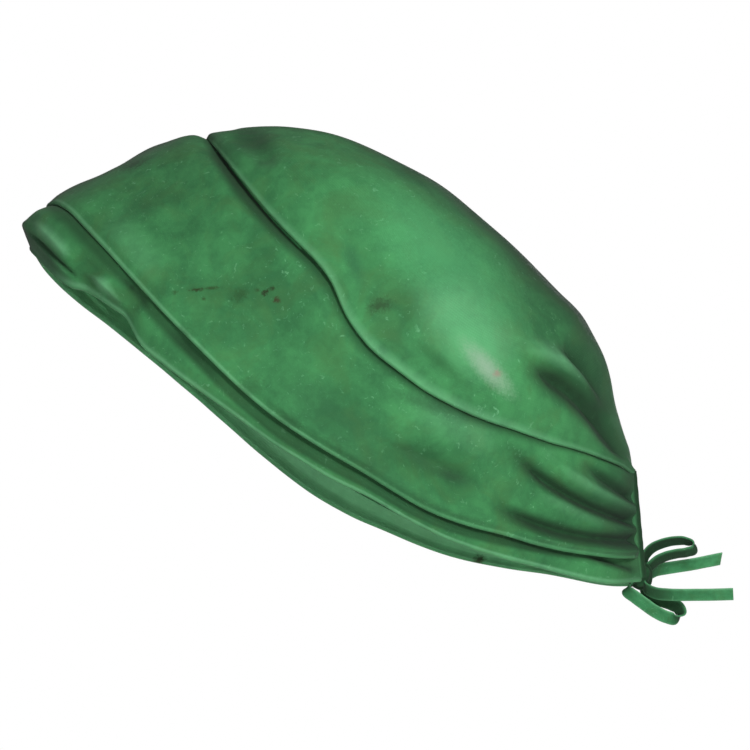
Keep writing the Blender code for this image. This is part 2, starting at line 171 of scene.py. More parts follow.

# Stains and worn patches, and a few patches of painted shade and painted highlight: the side they are on (1
# is the wearer's left), where, how long and high, how much they are turned, colour, strength and how ragged
# the edge is
patchColumns = ("side", "back", "up", "long", "high", "turn", "colour", "strength", "ragged")
patchRows = (
    (1, -19.3, -61.6, 1.5, 1.3, 20, "#231f12", 0.95, 2.4),
    (1, -15.3, -64.1, 1.9, 1.5, -30, "#3a2f1e", 0.85, 2.4),
    (1, -16.8, -60.2, 1.8, 1.1, 10, "#27351c", 0.80, 2.4),
    (1, -21.8, -60.6, 1.2, 1.0, 0, "#2c3c1f", 0.70, 2.4),
    (1, -42.3, -59.8, 2.9, 1.0, 4, "#2a2c16", 0.90, 2.4),
    (1, -36.9, -59.3, 3.0, 0.8, 0, "#2c401f", 0.70, 2.4),
    (1, -39.8, -63.0, 1.0, 0.9, 0, "#2c401f", 0.70, 2.4),
    (1, -27.7, -61.9, 4.0, 3.0, 20, "#2a4a27", 0.55, 2.4),
    (1, -49.5, -60.5, 1.4, 1.2, 20, "#2c4526", 0.60, 2.4),
    (1, -67.6, -10.8, 7.5, 3.6, 12, "#1f3a25", 0.70, 2.0),
    # painted shade of a dent at the top front
    (1, -25.0, -4.5, 16.0, 8.0, -43, "#1d4529", 0.75, 0.7),
    # painted shade in the small pucker by the crown's seam
    (1, 18.9, -66.2, 5.6, 3.3, 15, "#2b4a2c", 0.85, 2.0),
    # pale patch on the crown's bulge: paler dye and painted light
    (1, 38.0, -47.0, 44.0, 20.0, -42, "#57b072", 0.60, 0.6),
    # painted shade of a soft fold on the crown's side
    (1, 10.2, -51.9, 12.5, 4.0, -71, "#2f6a43", 0.80, 0.6),
    (1, -46.1, -74.3, 5.0, 4.0, 0, "#2a5634", 0.45, 1.5),
    (1, -24.1, -93.1, 7.0, 5.0, 30, "#2c5533", 0.45, 1.5),
    (1, -12.0, -104.0, 9.0, 3.5, -32, "#2b5232", 0.45, 1.5),
    # painted highlight on the crown's bulge
    (1, 51.0, -79.0, 24.0, 12.0, -46, "#54a56b", 0.60, 0.6),
    # painted highlight, pale grey, along the bulge's ridge
    (1, 54.0, -86.0, 15.0, 5.0, -46, "#8fac93", 0.80, 0.7),
    (1, 38.5, -84.8, 15.0, 3.4, -40, "#2c6439", 0.75, 0.7),
    (1, 41.7, -121.2, 9.0, 3.2, -16, "#27482f", 0.70, 0.7),
    (1, 30.0, -115.5, 10.0, 3.0, -35, "#2c5537", 0.50, 0.7),
    (1, 57.1, -87.6, 2.2, 1.7, 20, "#9a7f74", 0.65, 1.6),
    (1, -62.0, -29.0, 9.0, 7.0, -30, "#275234", 0.45, 0.8),
    (1, 20.0, -122.0, 34.0, 6.0, -33, "#2a5c39", 0.50, 0.8),
    (1, 4.0, -103.0, 32.0, 11.0, -36, "#2b5a39", 0.45, 0.7),
    (1, 34.0, -98.5, 15.0, 3.6, -18, "#23492f", 0.60, 0.8),
    (-1, 48.6, -141.6, 3.2, 2.6, 0, "#2c2013", 0.90, 1.6),
    (-1, -30.0, -50.0, 5.0, 3.0, 20, "#2a4a27", 0.50, 2.0),
    (-1, 22.0, -84.0, 3.0, 2.2, -20, "#2b4325", 0.60, 2.4),
    (-1, 40.0, -60.0, 14.0, 8.0, -40, "#5fae78", 0.40, 0.8),
)


def mathNode(tree, operation, first, second, third=None, clamp=False):
    node = addNode(tree, "ShaderNodeMath", {"operation": operation, "use_clamp": clamp})
    for slot, value in enumerate((first, second, third)):
        if isinstance(value, (int, float)):
            node.inputs[slot].default_value = value
        elif value is not None:
            tree.links.new(value, node.inputs[slot])
    return node.outputs[0]


def noiseNode(tree, surface, size, detail, roughness, distortion=0.0):
    settings = {"Scale": 1 / (size * mm), "Detail": detail, "Roughness": roughness, "Distortion": distortion}
    return addNode(tree, "ShaderNodeTexNoise", settings, {"Vector": surface}).outputs["Fac"]


def rangeNode(tree, value, start, end, low=0.0, high=1.0):
    settings = {"From Min": start, "From Max": end, "To Min": low, "To Max": high}
    return addNode(tree, "ShaderNodeMapRange", settings, {"Value": value}).outputs[0]


def mixNode(tree, share, under, over):
    # under is a colour or another node's output, over is a colour
    node = addNode(tree, "ShaderNodeMix", {"data_type": "RGBA", 7: over}, {0: share})
    if isinstance(under, tuple):
        node.inputs[6].default_value = under
    else:
        tree.links.new(under, node.inputs[6])
    return node.outputs[2]


def wovenCotton(name, look, marks=()):
    # Dyed plain-weave cotton, washed often: matt with a faint nap, paler on rubbed edges, with painted
    # highlights on ridges and painted shade in creases, under hems and along the middle line
    material = bpy.data.materials.new(name)
    material.use_nodes = True
    tree = material.node_tree
    shader = tree.nodes["Principled BSDF"]
    surface = addNode(tree, "ShaderNodeTexCoord").outputs["Object"]
    blotch = noiseNode(tree, surface, look["blotchSize"], 4.0, 0.55, 0.6)
    mottle = noiseNode(tree, surface, look["mottleSize"], 7.0, 0.68, 0.3)
    fleck = noiseNode(tree, surface, look["fleckSize"], 3.0, 0.6, 1.2)
    grain = noiseNode(tree, surface, look["grainSize"], 4.0, 0.7)

    # The dye is uneven, has gone olive in tired places and pale where threads are broken
    uneven = mathNode(tree, "MULTIPLY_ADD", mottle, 0.45, mathNode(tree, "MULTIPLY", blotch, 0.55))
    colour = mixNode(tree, rangeNode(tree, uneven, 0.39, 0.62), linear(look["mid"]), linear(look["light"]))
    moved = addNode(tree, "ShaderNodeMapping", {"Location": (0.31, 0.17, 0.05)}, {"Vector": surface})
    tired = noiseNode(tree, moved.outputs[0], look["blotchSize"] * 0.4, 5.0, 0.6, 0.8)
    colour = mixNode(tree, rangeNode(tree, tired, 0.48, 0.72, 0.0, 0.55), colour, linear(look["olive"]))
    colour = mixNode(tree, rangeNode(tree, fleck, 0.63, 0.76, 0.0, 0.45), colour, linear(look["paleWornAndLit"]))
    patchy = mathNode(tree, "MULTIPLY_ADD", mottle, 0.7, 0.62)
    # painted shade, painted highlight with wear, and grey painted shade, each mixed in by its mark
    for mark, shade, amount in look["shadeHighlightAndWear"]:
        reading = addNode(tree, "ShaderNodeAttribute", {"attribute_name": mark}).outputs["Fac"]
        wearAndLightShare = mathNode(tree, "MULTIPLY", reading, patchy)
        wearAndLightShare = mathNode(tree, "MULTIPLY", wearAndLightShare, amount, clamp=True)
        colour = mixNode(tree, wearAndLightShare, colour, linear(look[shade]))
    for mark in marks:
        colour = addPatch(tree, surface, mark, grain, colour)

    weave = addNode(tree, "ShaderNodeUVMap", {"uv_map": "clothPlan"}).outputs["UV"]
    threads = []
    for way in ("X", "Y"):
        wave = addNode(tree, "ShaderNodeTexWave", {"wave_type": "BANDS", "bands_direction": way,
                       "Scale": math.pi / 10 / look["threadSpacing"], "Distortion": 0.6, "Detail Scale": 1.5},
                       {"Vector": weave})
        threads.append(wave.outputs["Fac"])
    crumple = noiseNode(tree, surface, look["crumpleSize"], 3.0, 0.5, 0.8)
    soft = addNode(tree, "ShaderNodeBump", {"Strength": 0.6, "Distance": look["crumpleHeight"] * mm},
                   {"Height": crumple})
    fine = addNode(tree, "ShaderNodeBump", {"Strength": 0.8, "Distance": look["threadHeight"] * mm},
                   {"Height": mathNode(tree, "MULTIPLY", *threads), "Normal": soft.outputs[0]})
    rough = rangeNode(tree, mottle, 0.0, 1.0, look["roughness"] - 0.08, look["roughness"] + 0.06)
    tree.links.new(colour, shader.inputs["Base Color"])
    tree.links.new(rough, shader.inputs["Roughness"])
    tree.links.new(fine.outputs[0], shader.inputs["Normal"])
    shader.inputs["Metallic"].default_value = 0.0
    shader.inputs["Specular IOR Level"].default_value = 0.22
    shader.inputs["Sheen Weight"].default_value = 0.05
    shader.inputs["Sheen Roughness"].default_value = 0.5
    return material


def addPatch(tree, surface, mark, grain, colour):
    # One patch from the table (stains and worn patches, and some painted shade and highlights): a soft
    # ellipse on one side of the cap, its edge broken up by the cloth's grain
    moved = addNode(tree, "ShaderNodeMapping", {
        "vector_type": "TEXTURE",
        "Location": (0.0, mark["back"] * mm, mark["up"] * mm),
        "Rotation": (math.radians(mark["turn"]), 0.0, 0.0),
        "Scale": (1.0, mark["long"] * mm, mark["high"] * mm),
    }, {"Vector": surface})
    parts = addNode(tree, "ShaderNodeSeparateXYZ", None, {0: moved.outputs[0]}).outputs
    flat = addNode(tree, "ShaderNodeCombineXYZ", None, {1: parts[1], 2: parts[2]})
    away = addNode(tree, "ShaderNodeVectorMath", {"operation": "LENGTH"}, {0: flat.outputs[0]})
    ragged = mathNode(tree, "MULTIPLY_ADD", grain, mark["ragged"], away.outputs["Value"])
    cover = addNode(tree, "ShaderNodeMapRange", {
        "interpolation_type": "SMOOTHSTEP",
        "From Min": 0.52 * mark["ragged"],
        "From Max": 0.5 * mark["ragged"] + 1.05,
        "To Min": mark["strength"],
        "To Max": 0.0,
    }, {"Value": ragged})
    oneSide = mathNode(tree, "GREATER_THAN", mathNode(tree, "MULTIPLY", parts[0], mark["side"]), 0.0)
    shown = mathNode(tree, "MULTIPLY", cover.outputs[0], oneSide)
    return mixNode(tree, shown, colour, linear(mark["colour"]))


def paleBoard(name, shade, glow):
    # Matt painted board under the cap, lit evenly so that it shows pale; the glow is only for the camera
    material = bpy.data.materials.new(name)
    material.use_nodes = True
    tree = material.node_tree
    shader = tree.nodes["Principled BSDF"]
    shader.inputs["Base Color"].default_value = linear(shade)
    surface = addNode(tree, "ShaderNodeTexCoord").outputs["Object"]
    grain = noiseNode(tree, surface, studio["boardGrain"], 3.0, 0.5)
    tree.links.new(rangeNode(tree, grain, 0.0, 1.0, 0.75, 0.9), shader.inputs["Roughness"])
    seen = addNode(tree, "ShaderNodeEmission", {"Color": linear(shade), "Strength": 1.0})
    ray = addNode(tree, "ShaderNodeLightPath")
    share = mathNode(tree, "MULTIPLY", ray.outputs["Is Camera Ray"], glow)
    mixed = addNode(tree, "ShaderNodeMixShader", None, {0: share, 1: shader.outputs[0], 2: seen.outputs[0]})
    tree.links.new(mixed.outputs[0], tree.nodes["Material Output"].inputs["Surface"])
    return material


marks = [dict(zip(patchColumns, row)) for row in patchRows]
clothGreen = wovenCotton("wovenCottonGreen", cottonLook, marks)
tapeGreen = wovenCotton("twillTapeGreen", dict(cottonLook, mid="#2f7346", light="#45935e", threadSpacing=0.7,
                        blotchSize=14.0, mottleSize=4.0, crumpleHeight=0.2))
print("materials mixed")


# The cap's own frame: left, along the rim, high square to it

cap = {
    "rimLength": 247.0,
    "crownHeight": 84.0,
    "rimTilt": 29.9,  # degrees
    "rim": {"half": 78.0, "front": 4.5, "back": 0.0},
    "crease": {"half": 80.5, "front": 4.6, "back": 4.5},
    "seam": {"half": 82.0, "front": 41.0, "back": 20.5},
    "seatAlong": 0.21,
    "crownWall": 2.0,
    "halfRound": 300.0,  # from the middle of the brow to a casing
    "flatBefore": 7.0,  # the leaves lie flat this far before a casing
    "gathersFrom": 205.0,  # folds that end further back run on into the casings at full depth
    "weld": 0.02,
}

# From the middle of the front round one side to the back: shares of the sizes above
stationColumns = ("along", "wide", "rimHigh", "creaseHigh", "seamHigh", "cuffOut", "bandOut", "rightLift")
stationRows = (
    (0.00, 0.00, -0.072, 0.092, 0.676, 1.00, 1.00, 0.000),
    (0.03, 0.35, -0.106, 0.088, 0.650, 0.84, 1.00, 0.000),
    (0.10, 0.62, -0.160, 0.055, 0.582, 0.55, 0.95, 0.020),
    (0.20, 0.82, -0.210, -0.026, 0.486, 0.36, 0.85, 0.020),
    (0.31, 0.94, -0.264, -0.116, 0.388, 0.26, 0.75, 0.016),
    (0.41, 0.99, -0.304, -0.186, 0.282, 0.22, 0.62, 0.002),
    (0.50, 1.00, -0.324, -0.228, 0.184, 0.20, 0.52, -0.014),
    (0.60, 0.95, -0.328, -0.240, 0.157, 0.20, 0.50, -0.014),
    (0.70, 0.85, -0.306, -0.231, 0.190, 0.20, 0.50, 0.000),
    (0.80, 0.69, -0.258, -0.183, 0.252, 0.20, 0.45, 0.022),
    (0.89, 0.49, -0.190, -0.105, 0.322, 0.18, 0.38, 0.034),
    (0.96, 0.29, -0.121, -0.026, 0.336, 0.15, 0.25, 0.026),
    (1.00, 0.14, -0.042, 0.045, 0.312, 0.10, 0.10, 0.000),
)

# Where an edge leaves its even run, measured along the photographed hems: how far along, how much higher
seamLifts = (
    (41.0, 0.4), (55.0, 0.6), (69.6, 0.5), (89.7, 1.1), (97.0, 1.9), (103.6, 2.9), (111.2, 3.1),
    (120.4, 0.9), (131.1, 1.1), (145.0, 1.4), (158.0, 0.2), (171.7, -1.2), (187.4, -1.8),
    (203.0, -2.9), (213.4, -1.6), (220.4, 0.2), (226.5, 2.6),
)
edgeLifts = {
    ("rim", 1): (
        (4.5, 0.0), (8.1, 0.3), (18.1, 0.4), (27.5, 0.5), (32.0, 1.2), (36.0, 2.8), (40.6, 3.6),
        (48.6, 4.2), (55.3, 4.4), (59.8, 2.7), (63.0, 1.2), (74.7, 0.3), (85.7, 0.5), (103.0, 1.0),
        (116.0, 0.6), (131.7, 0.7), (146.9, 0.9), (154.5, 1.5), (171.3, 0.4), (184.8, -0.4),
        (195.8, -0.2), (206.3, 0.3), (216.2, 0.8), (232.0, 1.1), (240.0, 1.3), (247.0, 1.6),
    ),
    ("rim", -1): (
        (4.5, 0.0), (10.0, -0.6), (21.0, -1.0), (33.0, -0.4), (45.0, 0.0), (130.0, 0.0), (144.0, 0.4),
        (158.0, 0.9), (172.0, 0.4), (190.0, 0.1), (204.0, 0.6), (218.0, 1.3), (232.0, 1.2),
        (247.0, 1.3),
    ),
    ("crease", 1): (
        (4.6, 0.4), (9.6, 2.2), (14.7, 2.6), (28.6, 1.3), (41.2, 0.9), (65.8, 0.3), (85.4, 0.2),
        (108.0, -0.2), (129.4, 0.2), (142.6, 0.5), (148.9, 0.6), (163.7, 0.0), (174.6, -0.7),
        (180.9, -0.7), (190.7, -0.2), (200.5, 0.5), (209.3, 0.1), (218.8, 0.1), (229.1, 0.7),
        (242.5, 0.7),
    ),
    ("crease", -1): ((4.6, 0.4), (9.0, 1.8), (15.0, 2.0), (29.0, 0.8), (45.0, 0.0), (242.5, 0.0)),
    ("seam", 1): seamLifts,
    ("seam", -1): seamLifts,
}

ridgeRows = (
    (0.000, 0.676), (0.026, 0.740), (0.054, 0.792), (0.105, 0.860), (0.182, 0.932), (0.277, 0.976),
    (0.393, 0.986), (0.508, 0.958), (0.601, 0.918), (0.704, 0.858), (0.783, 0.800), (0.878, 0.631),
    (0.933, 0.482), (1.000, 0.352),
)


def curveThrough(rows, column, at):
    spots = np.array([row[0] for row in rows], float)
    values = np.array([row[column] for row in rows], float)
    slopes = np.gradient(values, spots)
    at = np.clip(at, spots[0], spots[-1])
    cell = np.clip(np.searchsorted(spots, at, side="right") - 1, 0, len(spots) - 2)
    span = spots[cell + 1] - spots[cell]
    s = (at - spots[cell]) / span
    return ((2 * s**3 - 3 * s**2 + 1) * values[cell] + (s**3 - 2 * s**2 + s) * span * slopes[cell]
            + (3 * s**2 - 2 * s**3) * values[cell + 1] + (s**3 - s**2) * span * slopes[cell + 1])


def roundRows():
    last = len(stationRows) - 1
    rows = [(i / last,) + row for i, row in enumerate(stationRows)]
    ahead = rows[1]
    return [(-ahead[0], ahead[1], -ahead[2]) + ahead[3:]] + rows


stations = roundRows()


def station(name, around):
    return curveThrough(stations, 1 + stationColumns.index(name), np.abs(around))


def lineRound(which, around):
    size = cap[which]
    along = size["front"] + station("along", around) * (cap["rimLength"] - size["front"] - size["back"])
    left = np.sign(around) * station("wide", around) * size["half"]
    high = station(which + "High", around) * cap["crownHeight"]
    if which == "rim":
        high = high + np.where(around < 0, station("rightLift", around), 0.0) * cap["crownHeight"]
    leftLift = curveThrough(edgeLifts[which, 1], 1, along)
    rightLift = curveThrough(edgeLifts[which, -1], 1, along)
    high = high + np.where(around < 0, rightLift, leftLift)
    return np.stack([left, along, high], axis=-1)


def seamLength():
    return cap["rimLength"] - cap["seam"]["front"] - cap["seam"]["back"]


def ridgeHigh(along):
    return curveThrough(ridgeRows, 1, (along - cap["seam"]["front"]) / seamLength()) * cap["crownHeight"]


def toWorld(points):
    # Millimetres in the cap's frame to metres in the row frame, with the head seat at the origin
    seatAlong = cap["seam"]["front"] + cap["seatAlong"] * seamLength()
    seatHigh = float(ridgeHigh(np.array(seatAlong))) - cap["crownWall"]
    tilt = math.radians(cap["rimTilt"])
    left, along, high = np.moveaxis(np.asarray(points, float), -1, 0)
    along = along - seatAlong
    high = high - seatHigh
    back = along * math.cos(tilt) + high * math.sin(tilt)
    up = high * math.cos(tilt) - along * math.sin(tilt)
    return np.stack([left, back, up], axis=-1) * mm


def ease(x):
    x = np.clip(x, 0.0, 1.0)
    return x * x * (3 - 2 * x)


def rising(x, start, end):
    return ease((x - start) / (end - start))


def falling(x, start, end):
    return 1 - rising(x, start, end)


def bump(x, middle, reach):
    return np.exp(-(((x - middle) / reach) ** 2))


def outward(grid):
    middle = np.array([0.0, cap["rimLength"] / 2, cap["crownHeight"] / 5])
    normals = np.cross(np.gradient(grid, axis=0), np.gradient(grid, axis=1))
    normals = normals / np.maximum(np.linalg.norm(normals, axis=-1, keepdims=True), 1e-12)
    return normals if np.sum(normals * (grid - middle)) > 0 else -normals


# Folds: ends as (along, high) in millimetres, how far the middle bows, width, depth (valleys are negative),
# how crisp the bottom is (0 soft, 1 sharp), how much steeper the upper side is than the lower one (-1 to 1),
# and how strongly the left and right sides show it, and the middle line over the head
foldColumns = ("fromAlong", "fromHigh", "toAlong", "toHigh", "bow", "width", "depth", "crisp", "lean", "left",
               "right", "middle")

crownFolds = (
    (172.0, 41.5, 219.8, 35.6, 0.14, 4.0, 3.2, 0.2, 0.0, 1.0, 0.8, 0.3),
    (176.0, 36.6, 218.1, 32.0, 0.12, 4.2, -5.6, 0.4, 0.4, 1.0, 0.9, 0.05),
    (183.0, 51.5, 208.0, 42.7, 0.08, 4.4, -4.2, 0.3, 0.0, 1.0, 0.6, 0.0),
    (119.6, 20.1, 123.5, 28.4, 0.00, 2.2, -2.2, 0.8, 0.0, 1.0, 0.5, 1.0),
    (116.0, 20.1, 119.0, 29.4, 0.00, 2.8, 1.6, 0.3, 0.0, 1.0, 0.5, 1.0),
    (98.0, 64.0, 117.0, 24.7, 0.10, 8.0, -2.8, 0.0, 0.3, 1.0, 0.8, 0.2),
    (138.3, 52.0, 176.9, 30.7, -0.10, 11.0, 2.8, 0.0, 0.0, 1.0, 1.0, 0.6),
    (146.0, 19.0, 186.0, 22.0, -0.12, 5.0, -3.0, 0.2, 0.3, 1.0, 0.7, 1.0),
    (50.0, 62.0, 74.0, 52.0, 0.05, 6.0, -2.8, 0.0, 0.0, 1.0, 0.5, 0.5),
    (46.0, 52.0, 70.0, 46.0, 0.10, 5.0, 1.2, 0.0, 0.0, 1.0, 0.5, 0.5),
    (186.0, 62.0, 214.0, 46.0, 0.06, 4.0, 1.4, 0.2, 0.0, 0.7, 1.0, 0.6),
    (128.0, 34.0, 140.0, 24.0, 0.10, 5.0, -0.8, 0.2, 0.0, 1.0, 0.6, 1.0),
    (150.0, 70.0, 184.0, 62.0, 0.10, 7.0, -1.2, 0.0, 0.0, 0.8, 1.0, 0.5),
)

bandFolds = (
    (198.1, 14.6, 211.8, 19.7, -0.05, 3.4, -0.9, 0.0, 0.0, 1.0, 0.8, 1.0),
    (209.3, 21.3, 239.4, 22.4, -0.04, 2.4, -3.8, 0.55, 0.4, 1.0, 0.8, 1.0),
    (184.0, 12.3, 241.0, 16.2, -0.09, 2.7, -5.4, 0.5, 0.4, 1.0, 0.9, 1.0),
    (194.0, 17.4, 238.0, 19.6, -0.07, 2.4, 1.8, 0.2, 0.0, 1.0, 0.9, 1.0),
    (197.0, 5.4, 240.0, 13.0, -0.05, 3.0, 2.4, 0.2, 0.0, 1.0, 1.0, 1.0),
    (186.4, -7.0, 241.0, 10.2, -0.09, 3.0, -5.0, 0.45, 0.4, 1.0, 0.7, 1.0),
    (200.0, -9.4, 242.0, 5.4, -0.09, 2.4, 2.0, 0.2, 0.0, 1.0, 0.7, 1.0),
    (150.0, -10.5, 190.0, -5.4, 0.05, 5.0, -3.4, 0.2, 0.3, 1.0, 0.6, 1.0),
    (61.8, 8.4, 118.6, -8.4, 0.05, 15.0, -1.6, 0.0, 0.0, 1.0, 0.5, 1.0),
    (40.0, 36.0, 66.0, 20.0, -0.10, 7.0, -0.8, 0.1, 0.0, 1.0, 0.5, 1.0),
    (84.0, 22.0, 104.0, 2.0, -0.10, 9.0, 0.9, 0.0, 0.0, 1.0, 0.7, 1.0),
    (106.0, 10.0, 140.0, -12.0, 0.08, 8.0, -1.4, 0.0, 0.0, 1.0, 0.7, 1.0),
    (150.0, 6.0, 186.0, 8.0, 0.05, 6.0, 1.0, 0.0, 0.0, 1.0, 0.8, 1.0),
    (30.0, 10.0, 62.0, 0.0, 0.05, 6.0, 0.8, 0.0, 0.0, 1.0, 0.6, 1.0),
    (8.0, 30.0, 34.0, 52.0, 0.00, 9.0, 0.9, 0.0, 0.0, 1.0, 1.0, 1.0),
)

cuffFolds = (
    (7.5, -2.2, 34.5, -10.5, 0.00, 0.7, -2.0, 0.9, 0.0, 1.0, 0.4, 0.0),
    (8.5, -3.6, 34.0, -11.8, 0.00, 0.8, 0.8, 0.2, 0.0, 1.0, 0.4, 0.0),
    (9.5, 0.4, 31.0, -5.9, 0.04, 1.9, 1.9, 0.2, 0.0, 1.0, 0.6, 0.4),
    (30.0, -7.6, 57.0, -11.8, 0.07, 2.0, 1.7, 0.2, 0.0, 1.0, 0.4, 1.0),
    (27.0, -3.6, 44.0, -8.0, 0.00, 4.6, -1.3, 0.1, 0.0, 1.0, 0.4, 1.0),
    (46.0, -5.0, 62.0, -9.5, 0.00, 4.0, -1.6, 0.1, 0.0, 1.0, 0.4, 1.0),
    (66.0, -12.0, 96.0, -19.0, 0.05, 2.6, -0.8, 0.1, 0.0, 1.0, 0.7, 1.0),
    (226.0, -4.8, 243.5, -0.4, 0.00, 1.6, -1.8, 0.5, 0.0, 1.0, 0.7, 1.0),
)


def foldHeight(grid, folds):
    # How far each point moves out, and how much painted shade its crease gets: crisp ones much, soft ones
    # hardly any
    height = np.zeros(grid.shape[:-1])
    crease = np.zeros(grid.shape[:-1])
    steps = 40
    spots = np.linspace(0.0, 1.0, steps + 1)
    flat = grid[..., 1:]
    for row in folds:
        fold = dict(zip(foldColumns, row))
        start = np.array([fold["fromAlong"], fold["fromHigh"]])
        run = np.array([fold["toAlong"], fold["toHigh"]]) - start
        sideways = np.array([-run[1], run[0]])
        bow = fold["bow"] * 4 * spots * (1 - spots)
        route = start + spots[:, None] * run + bow[:, None] * sideways
        apart = np.linalg.norm(flat[..., None, :] - route, axis=-1)
        nearest = np.argmin(apart, axis=-1)
        reach = flat - route[nearest]
        ahead = np.gradient(route, axis=0)
        ahead = (ahead / np.linalg.norm(ahead, axis=1, keepdims=True))[nearest]
        beside = ahead[..., 0] * reach[..., 1] - ahead[..., 1] * reach[..., 0]
        past = np.abs(np.sum(ahead * reach, axis=-1)) - np.linalg.norm(run) / steps / 2
        side = 1 - 0.5 * fold["lean"] * np.tanh(beside)
        away = np.hypot(beside, np.maximum(past, 0.0)) / (fold["width"] * side)
        soft = np.exp(-away**2)
        crisp = np.exp(-1.6 * (np.sqrt(away**2 + 0.02) - math.sqrt(0.02)))
        swell = soft * (1 - fold["crisp"]) + crisp * fold["crisp"]
        strength = ease(2.4 * spots[nearest] + 0.08)
        if fold["toAlong"] < cap["gathersFrom"]:
            strength = strength * ease(3.0 * (1 - spots[nearest]) + 0.08)
        leftShare = 0.5 + 0.5 * np.tanh(grid[..., 0] / 9.0)
        shown = fold["left"] * leftShare + fold["right"] * (1 - leftShare)
        middle = 1 - (1 - fold["middle"]) * np.exp(-((grid[..., 0] / 22.0) ** 2))
        push = fold["depth"] * strength * shown * middle * swell
        height += push
        crease += np.maximum(-push, 0) * (0.22 + 0.78 * min(1.0, fold["crisp"] / 0.4))
    return height, crease


def ripple(grid, leaf):
    # Slow irregular waves that keep large areas of cloth from being perfectly smooth
    chance = np.random.default_rng(leaf["rippleSeed"])
    total = np.zeros(grid.shape[:-1])
    for _ in range(9):
        way = chance.normal(size=3)
        way = way / np.linalg.norm(way) * chance.uniform(0.6, 1.6) * 2 * math.pi / leaf["rippleSize"]
        total += np.sin(grid @ way + chance.uniform(0, 2 * math.pi)) / 3
    return total * leaf["rippleHeight"]


def tubeFaces(count, total):
    # Faces between neighbouring closed rings
    faces = []
    for i in range(count - 1):
        for j in range(total):
            a = i * total + j
            b = i * total + (j + 1) % total
            faces.append((a, b, b + total, a + total))
    return faces


def writeMarks(mesh, marks):
    for mark, values in marks.items():
        reading = mesh.attributes.new(mark, "FLOAT", "POINT")
        reading.data.foreach_set("value", np.asarray(values).reshape(-1).astype(np.float32))


def makePiece(name, places, faces, plan, marks, material, weld=0.0):
    # plan is where each point lies on the flat cloth, and points closer than weld become one
    mesh = bpy.data.meshes.new(name)
    mesh.from_pydata([tuple(p) for p in places.reshape(-1, 3)], [], faces)
    corners = np.zeros(len(mesh.loops), int)
    mesh.loops.foreach_get("vertex_index", corners)
    layer = mesh.uv_layers.new(name="clothPlan")
    layer.data.foreach_set("uv", plan.reshape(-1, 2)[corners].reshape(-1))
    writeMarks(mesh, marks)
    work = bmesh.new()
    work.from_mesh(mesh)
    if weld:
        bmesh.ops.remove_doubles(work, verts=work.verts, dist=weld)
    bmesh.ops.recalc_face_normals(work, faces=work.faces)
    work.to_mesh(mesh)
    work.free()
    mesh.shade_smooth()
    mesh.materials.append(material)
    piece = bpy.data.objects.new(name, mesh)
    bpy.context.scene.collection.objects.link(piece)
    return piece


def shell(name, grid, normals, wall, marks, closedFront=False, innerLight=0.0):
    # A leaf of cloth as one closed body: each ring runs over the outer side, an edge, the inner side, an edge
    count, width = grid.shape[:2]
    turns = np.linspace(0.0, math.pi, 8)[1:-1]
    inner = grid - normals * wall

    def edge(j, beyond):
        out = grid[:, j] - grid[:, beyond]
        if closedFront:
            out[0] = (0.0, -1.0, 0.0)
        out = out - np.sum(out * normals[:, j], axis=-1, keepdims=True) * normals[:, j]
        out = out / np.maximum(np.linalg.norm(out, axis=-1, keepdims=True), 1e-12)
        middle = (grid[:, j] + inner[:, j]) / 2
        return [middle + wall / 2 * (math.cos(t) * normals[:, j] + math.sin(t) * out) for t in turns]

    columns = [grid[:, j] for j in range(width)] + edge(width - 1, width - 2)
    columns += [inner[:, j] for j in range(width)][::-1] + edge(0, 1)[::-1]
    ring = np.stack(columns, axis=1)
    total = ring.shape[1]
    steps = len(turns)
    source = list(range(width)) + [width - 1] * steps + list(range(width))[::-1] + [0] * steps
    faces = tubeFaces(count, total)
    for i, flip in ((0, False), (count - 1, True)):
        start = i * total
        innerStart = start + width + steps
        for j in range(width - 1):
            face = (start + j, start + j + 1, innerStart + width - 2 - j, innerStart + width - 1 - j)
            faces.append(face[::-1] if flip else face)
        high = [start + width - 1 + k for k in range(steps + 2)]
        low = [start] + [start + total - 1 - k for k in range(steps + 1)]
        faces.append(tuple(high[::-1] if not flip else high))
        faces.append(tuple(low if not flip else low[::-1]))
    # Wear, painted shade and painted highlights go in full outside, less on the edges and hardly inside
    shown = np.array([1.0] * width + [0.5] * steps + [0.12] * width + [0.6] * steps)
    inside = np.array([0.0] * (width + steps) + [1.0] * width + [0.0] * steps)
    shades = {mark: values[:, source] * shown for mark, values in marks.items()}
    # painted light: the inner side gets a paler colour added here
    shades["wearAndHighlight"] = shades["wearAndHighlight"] + innerLight * inside
    piece = makePiece(name, toWorld(ring), faces, clothPlan(grid)[:, source], shades, clothGreen,
                      weld=cap["weld"] * mm)
    print(name, len(piece.data.polygons), "faces, outer area", round(sheetArea(grid), 5), "square metres")
    return piece


def clothPlan(grid):
    # The sheet laid flat: how far along and how far up each point lies, in millimetres
    middle = grid.shape[1] // 2
    along = np.linalg.norm(np.diff(grid[:, middle], axis=0), axis=-1)
    up = np.linalg.norm(np.diff(grid, axis=1), axis=-1)
    plan = np.zeros(grid.shape[:2] + (2,))
    plan[1:, :, 0] = np.cumsum(along)[:, None]
    plan[:, 1:, 1] = np.cumsum(up, axis=1)
    return plan


def sheetArea(grid):
    a = grid[1:, :-1] - grid[:-1, :-1]
    b = grid[:-1, 1:] - grid[:-1, :-1]
    return float(np.sum(np.linalg.norm(np.cross(a, b), axis=-1))) * mm * mm


def wallBetween(lower, upper, beyond, steps, lap):
    up = np.linspace(0.0, 1.0, steps + 1)
    grid = lower[:, None, :] + up[None, :, None] * (upper - lower)[:, None, :]
    way = beyond - upper
    reach = np.linalg.norm(way, axis=-1, keepdims=True)
    end = upper + way * np.minimum(1.0, lap / np.maximum(reach, 1e-9))
    return np.concatenate([grid, end[:, None, :]], axis=1), np.append(up, 1.0)


# Side band

